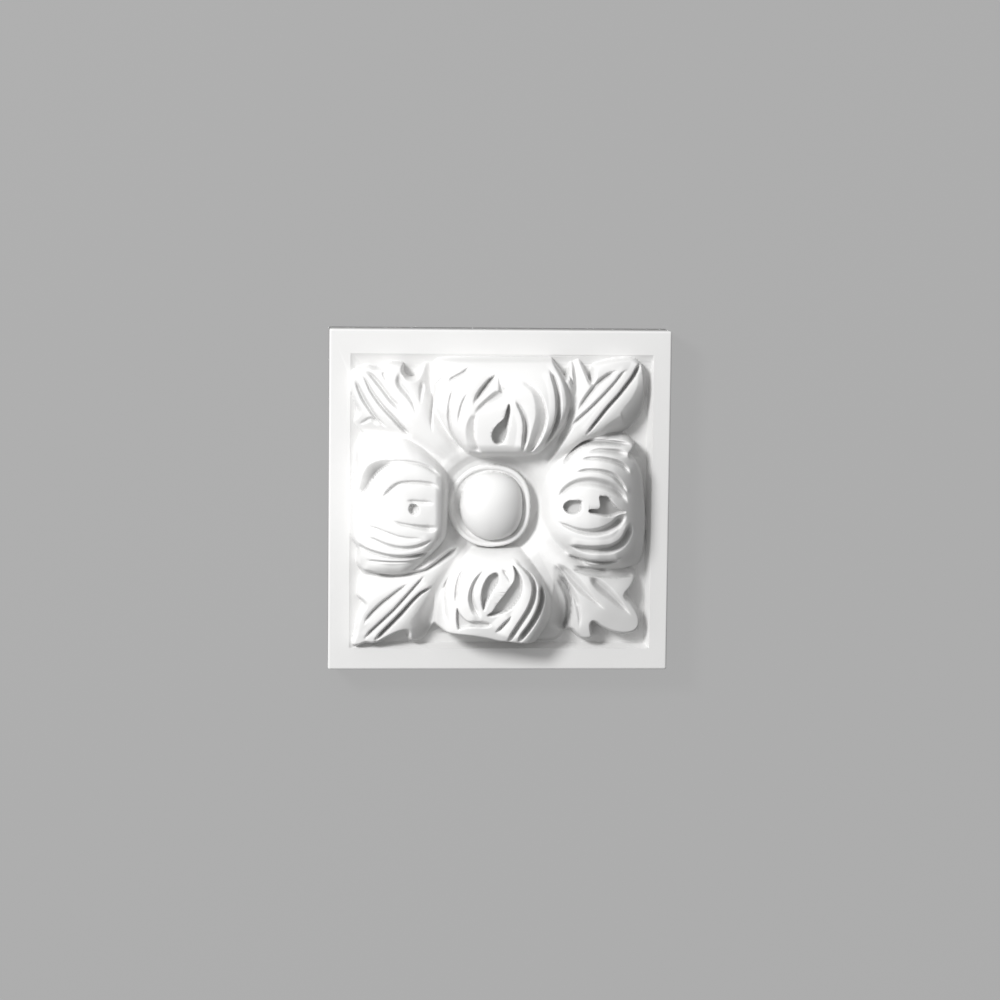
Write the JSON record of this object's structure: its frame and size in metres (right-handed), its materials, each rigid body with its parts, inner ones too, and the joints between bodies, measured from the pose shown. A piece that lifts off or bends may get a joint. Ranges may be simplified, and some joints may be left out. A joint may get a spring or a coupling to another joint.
{
  "type": "corner rosette block",
  "caption": "Square plinth block with a raised border and a carved acanthus rosette round a domed button, set where casing boards meet.",
  "frame": {"origin": "centre of the flat back", "axes": "+Z out of the carved face, +X to the right and +Y up as the block hangs on a wall; stored lying on its back"},
  "size_m": [0.1, 0.1, 0.0308],
  "materials": {
    "body": "matte white primer"
  },
  "bodies": {
    "root": {"rosette_block": "body"}
  },
  "joints": []
}
